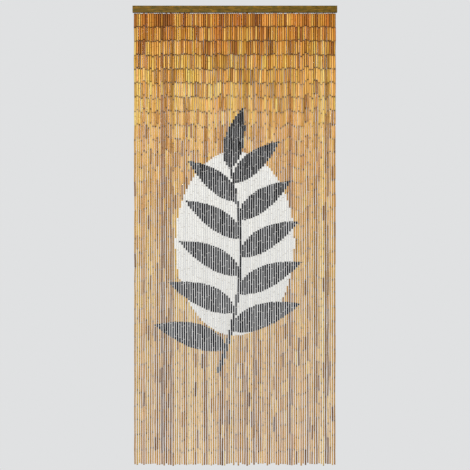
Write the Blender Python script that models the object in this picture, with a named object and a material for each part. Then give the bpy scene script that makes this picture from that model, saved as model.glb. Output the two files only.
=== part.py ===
"""Bamboo door curtain: a wooden header rail and ninety hanging strands of bamboo tubes.

Metres, +Z up. The origin is the centre of the rail's back face, which goes against the door frame,
so the front of the curtain faces -Y and the strands hang down -Z.
"""

import math

import bmesh
import bpy
import numpy as np
from mathutils import Matrix, Vector

# Header rail: a plain lath with eased edges and a groove along its underside
RAIL_LENGTH = 0.900
RAIL_HEIGHT = 0.030
RAIL_DEPTH = 0.018
RAIL_EDGE = 0.0015
RAIL_EDGE_STEPS = 2

# Stringing strip: fills the groove, a little above the rail's underside, and holds every strand
STRIP_DEPTH = 0.0070
STRIP_HEIGHT = 0.0070
STRIP_RECESS = 0.0010
STRIP_INSET = 0.0015
SEAT_GAP = 0.0003

# Strands: one column of bamboo tubes each, with a wire joint above every tube
STRANDS = 90
PITCH = 0.00987
TUBES = 32
TUBE_STEP = 0.0617
JOINT = 0.0045
FIRST_GAP = 0.0050
DROP = 1.984
WIRE_WIDTH = 0.0026

# A strand is cut in order from one cane, so its tubes grow thinner on the way down
CANE_TOP = 0.0094
CANE_TIP = 0.0050
CANE_FADE = 8.0

# How far the lengths and the hang of the strands wander, as shares and in metres
STEP_SPREAD = 0.035
HEM_SPREAD = 0.0040
SWAY_ACROSS = 0.0008
SWAY_DEPTH = 0.0014
SPREAD_LIMIT = 2.0
SEED = 90

# The joints that line up in rows across the curtain, then those where the plain run below bends
ROW_JOINTS = (1, 2, 3)
RUN_JOINTS = (10, 20, TUBES)

# Colours and roughness of the two finishes
OLIVE_STAIN = (0.165, 0.100, 0.018)
OLIVE_STAIN_ROUGHNESS = 0.45
NATURAL_CANE = (0.55, 0.33, 0.13)
NATURAL_CANE_ROUGHNESS = 0.40

RAIL_MIDDLE = -RAIL_DEPTH / 2
RAIL_UNDERSIDE = -RAIL_HEIGHT / 2
QUARTER_TURN = math.pi / 2
ROUND_DOWN_SLACK = 0.25


def finish(name, colour, roughness):
    """A Principled BSDF with one colour and roughness."""
    made = bpy.data.materials.new(name)
    made.use_nodes = True
    shader = made.node_tree.nodes["Principled BSDF"]
    shader.inputs["Base Color"].default_value = (*colour, 1.0)
    shader.inputs["Roughness"].default_value = roughness
    return made


def add_object(name, bm):
    """Turns a bmesh into a named object in the scene."""
    mesh = bpy.data.meshes.new(name)
    bm.to_mesh(mesh)
    bm.free()
    made = bpy.data.objects.new(name, mesh)
    bpy.context.scene.collection.objects.link(made)
    return made


def block(name, length, depth, height):
    """A box of the given size about its own origin."""
    bm = bmesh.new()
    bmesh.ops.create_cube(bm, size=1.0, matrix=Matrix.Diagonal((length, depth, height, 1.0)))
    return add_object(name, bm)


def header_rail():
    """The lath, with the groove for the stringing strip cut along its underside."""
    rail = block("header_rail", RAIL_LENGTH, RAIL_DEPTH, RAIL_HEIGHT)
    rail.location = (0.0, RAIL_MIDDLE, 0.0)
    rail.data.materials.append(finish("rail_wood", OLIVE_STAIN, OLIVE_STAIN_ROUGHNESS))
    eased = rail.modifiers.new("eased_edges", "BEVEL")
    eased.width = RAIL_EDGE
    eased.segments = RAIL_EDGE_STEPS

    reach = STRIP_RECESS + STRIP_HEIGHT + SEAT_GAP
    cutter = block(
        "groove_cutter",
        STRANDS * PITCH + 2 * SEAT_GAP,
        STRIP_DEPTH + 2 * SEAT_GAP,
        2 * reach,
    )
    cutter.location = (0.0, RAIL_MIDDLE, RAIL_UNDERSIDE)
    cutter.hide_render = True
    cutter.display_type = "WIRE"
    groove = rail.modifiers.new("groove", "BOOLEAN")
    groove.operation = "DIFFERENCE"
    groove.object = cutter


def cane_width(row):
    """The cane's width at a tube row: it thins fast at first, then slowly."""
    return CANE_TIP + (CANE_TOP - CANE_TIP) * math.exp(-row / CANE_FADE)


def chance_spread(seed, shape):
    """Bell-shaped random numbers of unit spread, cut off at SPREAD_LIMIT."""
    drawn = np.random.default_rng(seed).standard_normal(shape)
    return np.clip(drawn, -SPREAD_LIMIT, SPREAD_LIMIT)


def joint_depths():
    """The depth of each joint's middle below the first one: a row for each strand.

    The steps wander about TUBE_STEP, and the lower tubes take up what is left to the strand's own
    length, so the joints line up at the top of the curtain and scatter further down.
    """
    steps = TUBE_STEP * (1 + STEP_SPREAD * chance_spread(SEED, (STRANDS, TUBES)))
    depths = np.concatenate([np.zeros((STRANDS, 1)), np.cumsum(steps, axis=1)], axis=1)
    lengths = DROP + HEM_SPREAD * chance_spread(SEED + 1, STRANDS)
    taken_up = (np.arange(TUBES + 1) / TUBES) ** 2
    return depths + np.outer(lengths - depths[:, -1], taken_up)


def joint_sway():
    """How far each joint hangs out of line, across and in depth, more so further down."""
    wander = chance_spread(SEED + 2, (STRANDS, TUBES + 1, 2)) / SPREAD_LIMIT
    share = np.sqrt(np.arange(TUBES + 1) / TUBES)[:, None]
    return wander * share * (SWAY_ACROSS, SWAY_DEPTH)


def strand_rings(depths, sway, across):
    """The (centre, width) of each ring of one strand, from the strip down to the hem."""

    def ring(joint, above, width):
        first = RAIL_UNDERSIDE - FIRST_GAP + JOINT / 2
        shift_across, shift_depth = sway[joint]
        return (
            Vector((across + shift_across, RAIL_MIDDLE + shift_depth, first - depths[joint] + above)),
            width,
        )

    root = (Vector((across, RAIL_MIDDLE, RAIL_UNDERSIDE + STRIP_RECESS)), WIRE_WIDTH)
    rings = [root, ring(0, 0.0, WIRE_WIDTH), ring(0, -JOINT / 2, cane_width(0))]
    for joint in ROW_JOINTS:
        rings.append(ring(joint, JOINT / 2, cane_width(joint - 1)))
        rings.append(ring(joint, 0.0, WIRE_WIDTH))
        rings.append(ring(joint, -JOINT / 2, cane_width(joint)))
    rings.extend(ring(joint, JOINT / 2, cane_width(joint)) for joint in RUN_JOINTS)
    return rings


def left_to_right(faces):
    """The faces in the order of their strands."""
    return sorted(faces, key=lambda face: face.calc_center_median().x)


def place_ring(face, centre, width):
    """Moves a four-sided face's corners to the ends of an upright cross of the given width.

    Each corner goes to the quarter turn at or just before it. The strip's cells have their corners
    half way between two quarter turns and the rings have theirs on them, so no strand twists.
    """
    middle = face.calc_center_median()
    for vertex in face.verts:
        away = vertex.co - middle
        quarters = math.floor(math.atan2(away.y, away.x) / QUARTER_TURN + ROUND_DOWN_SLACK)
        turn = quarters * QUARTER_TURN
        vertex.co = centre + Vector((math.cos(turn), math.sin(turn), 0.0)) * width / 2


def bamboo_strands():
    """The stringing strip, with every strand extruded from its underside ring by ring."""
    bm = bmesh.new()
    bmesh.ops.create_grid(bm, x_segments=STRANDS, y_segments=1, size=0.5)
    underside = Matrix.Translation((0.0, RAIL_MIDDLE, RAIL_UNDERSIDE + STRIP_RECESS))
    bm.transform(underside @ Matrix.Diagonal((STRANDS * PITCH, STRIP_DEPTH, 1.0, 1.0)))
    cells = left_to_right(bm.faces)

    body = bmesh.ops.extrude_face_region(bm, geom=cells, use_keep_orig=True)["geom"]
    raised = [part for part in body if isinstance(part, bmesh.types.BMVert)]
    bmesh.ops.translate(bm, verts=raised, vec=(0.0, 0.0, STRIP_HEIGHT))
    bmesh.ops.inset_individual(bm, faces=cells, thickness=STRIP_INSET)

    strands = [
        strand_rings(depths, sway, cell.calc_center_median().x)
        for depths, sway, cell in zip(joint_depths(), joint_sway(), cells)
    ]
    ends = cells
    for level, rings in enumerate(zip(*strands)):
        if level:
            ends = left_to_right(bmesh.ops.extrude_discrete_faces(bm, faces=ends)["faces"])
        for end, (centre, width) in zip(ends, rings):
            place_ring(end, centre, width)

    bmesh.ops.recalc_face_normals(bm, faces=bm.faces)
    made = add_object("bamboo_strands", bm)
    made.data.materials.append(finish("natural_bamboo", NATURAL_CANE, NATURAL_CANE_ROUGHNESS))


for old in list(bpy.data.objects):
    bpy.data.objects.remove(old)
header_rail()
bamboo_strands()
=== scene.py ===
"""Looks of a bamboo door curtain: its tubes, wires, painted oval and sprig, rail, and a pale studio.

Metres, +Z up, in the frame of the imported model: the origin is the centre of the rail's back face, the
front of the curtain faces -Y, and the strands hang down -Z. The tubes follow the same seeded wander
as the solids do, so each lies on its own strand.
"""

import logging
import math
from dataclasses import dataclass, field, fields
from enum import IntEnum

import bpy
import numpy as np
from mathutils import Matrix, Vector


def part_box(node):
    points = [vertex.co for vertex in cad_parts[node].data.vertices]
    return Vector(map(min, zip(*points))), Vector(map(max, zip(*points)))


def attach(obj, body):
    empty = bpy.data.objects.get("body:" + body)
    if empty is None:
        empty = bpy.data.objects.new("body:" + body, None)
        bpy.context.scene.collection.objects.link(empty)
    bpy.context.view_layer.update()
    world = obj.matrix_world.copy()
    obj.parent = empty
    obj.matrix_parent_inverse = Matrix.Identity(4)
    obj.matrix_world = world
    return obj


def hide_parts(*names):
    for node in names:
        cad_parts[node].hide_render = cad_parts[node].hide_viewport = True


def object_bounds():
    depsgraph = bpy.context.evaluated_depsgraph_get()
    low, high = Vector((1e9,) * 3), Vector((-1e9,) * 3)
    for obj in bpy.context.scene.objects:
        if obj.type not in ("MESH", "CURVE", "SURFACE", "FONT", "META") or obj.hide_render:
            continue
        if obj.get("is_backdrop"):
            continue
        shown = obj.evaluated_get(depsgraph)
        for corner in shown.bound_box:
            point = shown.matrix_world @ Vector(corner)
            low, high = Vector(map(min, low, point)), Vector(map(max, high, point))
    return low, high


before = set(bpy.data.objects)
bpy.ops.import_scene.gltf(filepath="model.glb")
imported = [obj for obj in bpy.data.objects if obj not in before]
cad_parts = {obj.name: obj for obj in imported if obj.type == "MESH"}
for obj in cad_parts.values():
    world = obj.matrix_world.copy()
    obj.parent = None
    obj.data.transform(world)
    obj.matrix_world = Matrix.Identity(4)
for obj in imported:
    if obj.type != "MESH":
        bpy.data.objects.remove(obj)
log = logging.getLogger("bamboo_door_curtain")

Array = np.ndarray
Colour = tuple[float, float, float, float]
Socket = bpy.types.NodeSocket
Value = Socket | float | tuple[float, ...]

BODY = "root"
RAIL_NODE = "header_rail"
STRANDS_NODE = "bamboo_strands"
BAYS = ("left", "middle", "right")
MM = 0.001


def colour(red: int, green: int, blue: int) -> Colour:
    """Turns a screen colour into the linear colour that a shader takes.

    Args:
        red: Red, 0 to 255.
        green: Green, 0 to 255.
        blue: Blue, 0 to 255.

    Returns:
        The linear red, green and blue, and a full alpha.
    """
    share = np.array((red, green, blue)) / 255
    linear = np.where(share <= 0.04045, share / 12.92, ((share + 0.055) / 1.055) ** 2.4)
    return (*linear.tolist(), 1.0)


def chance(seed: int, shape: int | tuple[int, ...], limit: float = 2.0) -> Array:
    """Draws bell-shaped random numbers of unit spread.

    Args:
        seed: What the draw starts from.
        shape: The shape of the array.
        limit: Where the numbers are cut off.

    Returns:
        The numbers, from -limit to limit.
    """
    return np.clip(np.random.default_rng(seed).standard_normal(shape), -limit, limit)


def even_chance(seed: int, shape: int | tuple[int, ...]) -> Array:
    """Draws even random numbers from 0 to 1."""
    return np.random.default_rng(seed).random(shape)


def between(first: float | Array, last: float | Array, share: float | Array) -> float | Array:
    """Goes evenly from the first value to the last one as the share goes from 0 to 1."""
    return first + (last - first) * share


def unit(ways: Array) -> Array:
    """Scales every vector, one along the last axis, to a length of 1."""
    return ways / np.linalg.norm(ways, axis=-1, keepdims=True)


def add_object(name: str, data: bpy.types.ID) -> bpy.types.Object:
    """Puts a mesh, a lamp or a camera into the scene.

    Args:
        name: The object's name.
        data: What it holds.

    Returns:
        The new object, at the origin.
    """
    made = bpy.data.objects.new(name, data)
    bpy.context.scene.collection.objects.link(made)
    return made


# Meshes


@dataclass
class Surface:
    """The points and faces of one mesh.

    Attributes:
        points: The place of each point, a row each.
        corners: The points of every face, one face after another.
        sides: How many corners each face has.
        finish: Which of the piece's materials each face wears.
        marks: Named values that the materials read, one for each point.
    """

    points: Array
    corners: Array
    sides: Array
    finish: Array
    marks: dict[str, Array] = field(default_factory=dict)

    def to_object(self, name: str, materials: list[bpy.types.Material], crease: float) -> bpy.types.Object:
        """Puts the surface into Blender.

        Args:
            name: The object's name.
            materials: What the faces' finish numbers stand for.
            crease: The angle in degrees past which an edge is shaded sharp.

        Returns:
            The new object, at the origin.
        """
        mesh = bpy.data.meshes.new(name)
        mesh.vertices.add(len(self.points))
        mesh.vertices.foreach_set("co", self.points.astype(np.float32).ravel())
        mesh.loops.add(len(self.corners))
        mesh.loops.foreach_set("vertex_index", self.corners.astype(np.int32))
        starts = np.concatenate([[0], np.cumsum(self.sides)[:-1]])
        mesh.polygons.add(len(self.sides))
        mesh.polygons.foreach_set("loop_start", starts.astype(np.int32))
        mesh.polygons.foreach_set("material_index", self.finish.astype(np.int32))
        for mark, values in self.marks.items():
            stored = mesh.attributes.new(mark, "FLOAT", "POINT")
            stored.data.foreach_set("value", values.astype(np.float32))
        for material in materials:
            mesh.materials.append(material)
        mesh.update(calc_edges=True)
        mesh.validate()
        mesh.shade_smooth()
        mesh.set_sharp_from_angle(angle=math.radians(crease))
        return add_object(name, mesh)


def ring_faces(rings: int, sides: int, closed: bool) -> Array:
    """Lists the four-sided faces between neighbouring rings of points.

    Point s of ring r has the number r * sides + s. A face takes points s and s + 1 of ring r and of
    the next ring, so it looks away from the rings' middle where s turns left about the way they run
    backwards.

    Args:
        rings: How many rings there are.
        sides: How many points a ring has.
        closed: Whether the last ring joins the first one.

    Returns:
        The corner numbers, four a row.
    """
    ring = np.arange(rings if closed else rings - 1)[:, None]
    side = np.arange(sides)[None, :]
    after = (ring + 1) % rings
    beside = (side + 1) % sides
    corners = (
        ring * sides + side,
        after * sides + side,
        after * sides + beside,
        ring * sides + beside,
    )
    return np.stack(corners, axis=-1).reshape(-1, 4)


def copies_of(faces: Array, copies: int, points_each: int) -> Array:
    """Repeats a list of faces, each copy on its own points, as (copies, faces, corners)."""
    return faces[None] + np.arange(copies)[:, None, None] * points_each


def show(made: bpy.types.Object, node: str) -> bpy.types.Object:
    """Seats a finished piece on the model.

    Args:
        made: The piece.
        node: The solid that it stands for.

    Returns:
        The same piece.
    """
    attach(made, BODY)
    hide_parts(node)
    triangles = len(made.data.loops) - 2 * len(made.data.polygons)
    log.info("%s stands for %s: %d faces, %d triangles", made.name, node, len(made.data.polygons), triangles)
    return made


# Shader nodes


@dataclass(frozen=True)
class Fade:
    """A number that changes smoothly as another value goes over a span.

    Attributes:
        start: The value at which the change starts.
        end: The value at which it ends.
        before: The number up to the start.
        after: The number from the end on.
    """

    start: float
    end: float
    before: float = 0.0
    after: float = 1.0


class NodeSheet:
    """A node tree that is written one node at a time."""

    def __init__(self, tree: bpy.types.NodeTree) -> None:
        """Starts on an empty tree."""
        self.tree = tree
        self.tree.nodes.clear()

    def feed(self, socket: Socket, value: Value) -> None:
        """Links a socket to another one, or sets its own value.

        Args:
            socket: The socket that is fed.
            value: The socket or the value that feeds it.
        """
        if isinstance(value, Socket):
            self.tree.links.new(value, socket)
        else:
            socket.default_value = value

    def add(
        self,
        kind: str,
        inputs: dict[str | int, Value] | None = None,
        **settings: object,
    ) -> bpy.types.Node:
        """Adds one node.

        Args:
            kind: Blender's name for the kind of node.
            inputs: What feeds its sockets, by name or number.
            settings: The node's own settings.

        Returns:
            The node.
        """
        node = self.tree.nodes.new(kind)
        for name, value in settings.items():
            setattr(node, name, value)
        for socket, value in (inputs or {}).items():
            self.feed(node.inputs[socket], value)
        return node

    def mark(self, name: str) -> Socket:
        """Reads one of the mesh's named values."""
        return self.add("ShaderNodeAttribute", attribute_name=name).outputs["Fac"]

    def place(self) -> Socket:
        """Reads where a point is on the piece."""
        return self.add("ShaderNodeTexCoord").outputs["Object"]

    def sum(self, operation: str, first: Value, second: Value = 0.0) -> Socket:
        """Works out one sum of two values."""
        return self.add("ShaderNodeMath", {0: first, 1: second}, operation=operation).outputs[0]

    def product(self, *values: Value) -> Socket:
        """Multiplies two or more values.

        Args:
            values: The values.

        Returns:
            Their product.
        """
        total = values[0]
        for value in values[1:]:
            total = self.sum("MULTIPLY", total, value)
        return total

    def stretch(self, place: Value, by: Value) -> Socket:
        """Multiplies a place by its own factor along each axis."""
        return self.add("ShaderNodeVectorMath", {0: place, 1: by}, operation="MULTIPLY").outputs[0]

    def ease(self, value: Value, start: float, end: float, before: Value, after: Value) -> Socket:
        """Goes smoothly from before to after as the value goes from start to end."""
        inputs = {"Value": value, "From Min": start, "From Max": end, "To Min": before, "To Max": after}
        return self.add("ShaderNodeMapRange", inputs, interpolation_type="SMOOTHSTEP").outputs["Result"]

    def fade(self, value: Value, fade: Fade) -> Socket:
        """Follows a fade."""
        return self.ease(value, fade.start, fade.end, fade.before, fade.after)

    def blend(self, share: Value, first: Value, second: Value, how: str = "MIX") -> Socket:
        """Mixes two colours.

        Args:
            share: How much of the second colour is taken, 0 to 1.
            first: The first colour.
            second: The second colour.
            how: Blender's name for the way of mixing.

        Returns:
            The mixed colour.
        """
        colour_a, colour_b, result = 6, 7, 2
        inputs = {0: share, colour_a: first, colour_b: second}
        node = self.add("ShaderNodeMix", inputs, data_type="RGBA", blend_type=how)
        return node.outputs[result]

    def tint(self, tone: Value, by: Value, share: Value = 1.0) -> Socket:
        """Multiplies a colour by another one, or by a value."""
        return self.blend(share, tone, by, "MULTIPLY")

    def ramp(self, value: Value, stops: tuple[tuple[float, Colour], ...]) -> Socket:
        """Turns a value into a colour between the named stops.

        Args:
            value: The value, 0 to 1.
            stops: The place and the colour of each stop, in order.

        Returns:
            The colour.
        """
        node = self.add("ShaderNodeValToRGB", {"Fac": value})
        elements = node.color_ramp.elements
        while len(elements) < len(stops):
            elements.new(1.0)
        for element, (position, shade) in zip(elements, stops):
            element.position = position
            element.color = shade
        return node.outputs["Color"]

    def noise(self, place: Value, scale: Value, detail: float = 2.0) -> Socket:
        """Adds smooth noise of the given scale."""
        inputs = {"Vector": place, "Scale": scale, "Detail": detail}
        return self.add("ShaderNodeTexNoise", inputs).outputs["Fac"]

    def relief(self, shader: bpy.types.Node, height: Value, strength: float, depth: float) -> None:
        """Gives the surface fine relief of a real depth."""
        bump = self.add("ShaderNodeBump", {"Height": height, "Strength": strength, "Distance": depth})
        self.feed(shader.inputs["Normal"], bump.outputs["Normal"])


class SharedNodes:
    """The node groups that several finishes use, each built once.

    Attributes:
        FIBRE_EDGES: How the fine noise turns into fibres.
        FIBRE_DETAIL: The detail of the fine noise.
        BLOTCH_EDGES: How the broad noise turns into blotches.
        BLOTCH_SCALE: The scale of the broad noise, as a share of the fine one's.
        BLOTCH_DETAIL: The detail of the broad noise.
        END_EDGES: How the mask of the ends fades, over a share of its reach.
        SPECK_EDGES: How a peak of the noise turns into a speck.
    """

    FIBRE_EDGES = Fade(0.3, 0.7)
    FIBRE_DETAIL = 4.0
    BLOTCH_EDGES = Fade(0.35, 0.65)
    BLOTCH_SCALE = 0.17
    BLOTCH_DETAIL = 1.0
    END_EDGES = Fade(0.35, 1.0, 1.0, 0.0)
    SPECK_EDGES = Fade(0.0, 0.06)

    def __init__(self) -> None:
        """Builds the groups."""
        self.grain = self.long_grain()
        self.ends = self.near_ends()
        self.specks = self.scattered_specks()

    @staticmethod
    def group(
        name: str,
        inputs: dict[str, str],
        outputs: tuple[str, ...],
    ) -> tuple[NodeSheet, dict[str, Socket], bpy.types.Node]:
        """Starts a node group.

        Args:
            name: The group's name.
            inputs: The kind of each input socket, by name.
            outputs: The names of its output values.

        Returns:
            Its sheet, its input sockets by name, and the node that its outputs feed.
        """
        tree = bpy.data.node_groups.new(name, "ShaderNodeTree")
        for socket, kind in inputs.items():
            tree.interface.new_socket(socket, in_out="INPUT", socket_type=kind)
        for socket in outputs:
            tree.interface.new_socket(socket, in_out="OUTPUT", socket_type="NodeSocketFloat")
        sheet = NodeSheet(tree)
        entry = sheet.add("NodeGroupInput")
        leave = sheet.add("NodeGroupOutput")
        return sheet, {socket: entry.outputs[socket] for socket in inputs}, leave

    @classmethod
    def long_grain(cls) -> bpy.types.NodeTree:
        """Fibres that run one way: noise on a place that is stretched far more across than along.

        Returns:
            The group. It puts out the masks Fibre and Blotch.
        """
        kinds = {"Place": "NodeSocketVector", "Stretch": "NodeSocketVector"}
        sheet, given, leave = cls.group("long_grain", kinds, ("Fibre", "Blotch"))
        stretched = sheet.stretch(given["Place"], given["Stretch"])
        fine = sheet.noise(stretched, 1.0, cls.FIBRE_DETAIL)
        broad = sheet.noise(stretched, cls.BLOTCH_SCALE, cls.BLOTCH_DETAIL)
        sheet.feed(leave.inputs["Fibre"], sheet.fade(fine, cls.FIBRE_EDGES))
        sheet.feed(leave.inputs["Blotch"], sheet.fade(broad, cls.BLOTCH_EDGES))
        return sheet.tree

    @classmethod
    def near_ends(cls) -> bpy.types.NodeTree:
        """A mask that is 1 near both ends of a tube and 0 from Reach, a share of its length, inwards.

        Returns:
            The group.
        """
        kinds = {"Along": "NodeSocketFloat", "Reach": "NodeSocketFloat"}
        sheet, given, leave = cls.group("near_ends", kinds, ("Mask",))
        other = sheet.sum("SUBTRACT", 1.0, given["Along"])
        nearest = sheet.sum("MINIMUM", given["Along"], other)
        share = sheet.sum("DIVIDE", nearest, given["Reach"])
        sheet.feed(leave.inputs["Mask"], sheet.fade(share, cls.END_EDGES))
        return sheet.tree

    @classmethod
    def scattered_specks(cls) -> bpy.types.NodeTree:
        """Small specks: the peaks of a fine noise, more of them the lower Sparse is.

        Returns:
            The group.
        """
        kinds = {"Place": "NodeSocketVector", "Scale": "NodeSocketFloat", "Sparse": "NodeSocketFloat"}
        sheet, given, leave = cls.group("scattered_specks", kinds, ("Mask",))
        over = sheet.sum("SUBTRACT", sheet.noise(given["Place"], given["Scale"]), given["Sparse"])
        sheet.feed(leave.inputs["Mask"], sheet.fade(over, cls.SPECK_EDGES))
        return sheet.tree

    @staticmethod
    def use(sheet: NodeSheet, tree: bpy.types.NodeTree, inputs: dict[str, Value]) -> bpy.types.Node:
        """Places a group in a material, with its own values.

        Args:
            sheet: The material's sheet.
            tree: The group.
            inputs: What feeds its sockets, by name.

        Returns:
            The group's node.
        """
        node = sheet.add("ShaderNodeGroup", node_tree=tree)
        for socket, value in inputs.items():
            sheet.feed(node.inputs[socket], value)
        return node

    def near_end(self, sheet: NodeSheet, along: Value, reach: Value) -> Socket:
        """The mask of a tube's two ends."""
        return self.use(sheet, self.ends, {"Along": along, "Reach": reach}).outputs["Mask"]

    def speckled(self, sheet: NodeSheet, place: Value, scale: float, sparse: float) -> Socket:
        """The mask of small specks."""
        inputs = {"Place": place, "Scale": scale, "Sparse": sparse}
        return self.use(sheet, self.specks, inputs).outputs["Mask"]


def new_material(name: str) -> tuple[bpy.types.Material, NodeSheet, bpy.types.Node]:
    """Starts a material.

    Args:
        name: The material's name.

    Returns:
        The material, its sheet, and its Principled BSDF.
    """
    made = bpy.data.materials.new(name)
    made.use_nodes = True
    sheet = NodeSheet(made.node_tree)
    shader = sheet.add("ShaderNodeBsdfPrincipled")
    sheet.add("ShaderNodeOutputMaterial", {"Surface": shader.outputs["BSDF"]})
    return made, sheet, shader


# Finishes


@dataclass(frozen=True)
class CaneFinish:
    """Varnished bamboo: golden to brown from tube to tube, with long fibres, singed ends, and painted light
    and shade.

    A fade by height goes over metres below the rail, one by side over the flank mark, which is 0 at
    a tube's front and back and 1 at its flanks, and the others over a mark or a noise from 0 to 1.

    Attributes:
        tones: The colours of the tubes, from the darkest to the palest, each with its place from 0 to 1.
        rosy: What the colour is multiplied by on the reddest canes.
        khaki: The same on the greenest ones.
        cast_by_height: How much of that shows.
        hue_by_height: The hue's turn from orange to yellow. A half leaves it alone.
        strength_by_height: The share of the colour's strength that is left.
        top_tint: What the colour is multiplied by at the rail, where the cane is thick: darker, partly its
            own tone and partly painted shade of the rail.
        upper_tint: The same below the first rows.
        middle_tint: The same half way down.
        hem_tint: The same at the hem.
        upper_by_height: The change from the top's tint to the upper one.
        middle_by_height: The change to the middle's tint.
        hem_by_height: The change to the hem's tint.
        streaks: How light the fibres are.
        patches: How light the blotches are.
        flank_shade_tone: The colour multiplied in as painted shade between a tube's flanks and its
            neighbours.
        flank_shading: How much of that painted shade shows, by the tube's own share of it.
        flank_shading_by_side: The same by side.
        flank_shading_by_height: The same by height.
        painted_crown_shade: What the colour of a lower cane is multiplied by along its front and back, a
            painted shade.
        painted_flank_light: The same along its flanks, a painted light of the surround, which reaches them
            through the gaps.
        painted_light_by_side: The change from one to the other.
        painted_light_by_height: How much of either shows.
        scorch_and_shade: The colour of the dark mark at a joint, of the painted shade near the ends, and of
            the line at a node.
        node_line: How dark the line at a node is, by how far from the node it is.
        end_shade: How far the cane is darkened near its ends, a painted shade.
        end_shade_reach: The share of the length that it darkens.
        burn_and_shade_reach: The share of the length that a joint's mark takes in, from a weak one to a
            strong one.
        uneven: How that share wavers with the blotches.
        burn_and_shade_split: The weak and the strong end of a joint's dark mark.
        least_by_height: How dark a weak mark is.
        most_by_height: How dark a strong mark is.
        burnt_and_shaded_by_side: How dark a mark is from the front to the flanks.
        gloss: The roughness over the fibres.
        specular: The strength of its shine.
        relief_strength: How strong the fibres' relief is.
        relief_depth: How deep it is.
        stretch: Fibres a metre, across and along the cane.
    """

    tones: tuple[tuple[float, Colour], ...] = (
        (0.00, colour(108, 62, 20)),
        (0.16, colour(160, 102, 40)),
        (0.38, colour(206, 140, 52)),
        (0.62, colour(226, 164, 72)),
        (0.84, colour(240, 190, 104)),
        (1.00, colour(248, 212, 144)),
    )
    rosy: Colour = (1.06, 0.91, 0.94, 1.0)
    khaki: Colour = (0.94, 1.06, 0.86, 1.0)
    cast_by_height: Fade = Fade(-0.25, -0.70, 1.0, 0.35)
    hue_by_height: Fade = Fade(-0.10, -1.20, 0.500, 0.512)
    strength_by_height: Fade = Fade(-0.10, -1.20, 1.0, 0.80)
    top_tint: Colour = (0.96, 0.83, 0.66, 1.0)
    upper_tint: Colour = (1.13, 1.30, 1.42, 1.0)
    middle_tint: Colour = (0.90, 0.90, 0.68, 1.0)
    hem_tint: Colour = (0.90, 0.89, 0.86, 1.0)
    upper_by_height: Fade = Fade(-0.02, -0.30)
    middle_by_height: Fade = Fade(-0.32, -0.75)
    hem_by_height: Fade = Fade(-1.00, -2.00)
    streaks: Fade = Fade(0.0, 1.0, 0.80, 1.08)
    patches: Fade = Fade(0.0, 1.0, 0.90, 1.06)
    flank_shade_tone: Colour = (0.17, 0.10, 0.05, 1.0)
    flank_shading: Fade = Fade(0.0, 1.0, 0.40, 1.0)
    flank_shading_by_side: Fade = Fade(0.05, 0.65)
    flank_shading_by_height: Fade = Fade(-0.15, -0.65, 1.0, 0.0)
    painted_crown_shade: Colour = (0.58, 0.53, 0.40, 1.0)
    painted_flank_light: Colour = (1.36, 1.33, 1.32, 1.0)
    painted_light_by_side: Fade = Fade(0.10, 0.65)
    painted_light_by_height: Fade = Fade(-0.20, -0.90)
    scorch_and_shade: Colour = colour(30, 10, 2)
    node_line: Fade = Fade(0.008, 0.020, 0.55, 0.0)
    end_shade: float = 0.07
    end_shade_reach: float = 0.20
    burn_and_shade_reach: Fade = Fade(0.0, 1.0, 0.036, 0.074)
    uneven: Fade = Fade(0.0, 1.0, 0.75, 1.25)
    burn_and_shade_split: tuple[float, float] = (0.25, 0.75)
    least_by_height: Fade = Fade(-0.25, -0.75, 1.0, 0.0)
    most_by_height: Fade = Fade(-0.50, -1.40, 1.0, 0.80)
    burnt_and_shaded_by_side: Fade = Fade(0.10, 0.50, 1.0, 0.18)
    gloss: Fade = Fade(0.0, 1.0, 0.54, 0.40)
    specular: float = 0.16
    relief_strength: float = 0.35
    relief_depth: float = 0.15 * MM
    stretch: tuple[float, float, float] = (1300.0, 1300.0, 45.0)

    def cane(self, sheet: NodeSheet, height: Socket, fibre: Socket, blotch: Socket) -> Socket:
        """The cane's colour: its tone, its cast, the tint of its height with painted shade under the rail in
        it, and its fibres.

        Args:
            sheet: The material's sheet.
            height: How high a point is.
            fibre: The fibres' mask.
            blotch: The blotches' mask.

        Returns:
            The colour.
        """
        tone = sheet.ramp(sheet.mark("tone"), self.tones)
        cast = sheet.blend(sheet.mark("hue"), self.rosy, self.khaki)
        tone = sheet.tint(tone, cast, sheet.fade(height, self.cast_by_height))
        paler = {
            "Hue": sheet.fade(height, self.hue_by_height),
            "Saturation": sheet.fade(height, self.strength_by_height),
            "Color": tone,
        }
        tone = sheet.add("ShaderNodeHueSaturation", paler).outputs["Color"]
        # The tint by height: darker under the rail, partly painted shade of the rail.
        tint = sheet.blend(sheet.fade(height, self.upper_by_height), self.top_tint, self.upper_tint)
        tint = sheet.blend(sheet.fade(height, self.middle_by_height), tint, self.middle_tint)
        tint = sheet.blend(sheet.fade(height, self.hem_by_height), tint, self.hem_tint)
        tone = sheet.tint(tone, tint)
        tone = sheet.tint(tone, sheet.fade(fibre, self.streaks))
        return sheet.tint(tone, sheet.fade(blotch, self.patches))

    def stained(self, sheet: NodeSheet, tone: Socket, height: Socket, flank: Socket) -> Socket:
        """Paints shade along the flanks of the upper canes, and on the lower ones paints shade on their
        fronts and backs and light on their flanks.

        Args:
            sheet: The material's sheet.
            tone: The cane's colour.
            height: How high a point is.
            flank: How near to its tube's flanks it is.

        Returns:
            The stained colour.
        """
        # Painted shade between neighbouring tubes, which fades out below the crowded upper rows.
        flank_shading = sheet.product(
            sheet.fade(sheet.mark("pool"), self.flank_shading),
            sheet.fade(flank, self.flank_shading_by_side),
            sheet.fade(height, self.flank_shading_by_height),
        )
        tone = sheet.blend(flank_shading, tone, sheet.tint(tone, self.flank_shade_tone))
        # Painted shade on the lower canes' fronts and backs, and painted light on their flanks.
        crown_shade_and_flank_light = sheet.blend(sheet.fade(flank, self.painted_light_by_side), self.painted_crown_shade, self.painted_flank_light)
        return sheet.blend(sheet.fade(height, self.painted_light_by_height), tone, sheet.tint(tone, crown_shade_and_flank_light))

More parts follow.
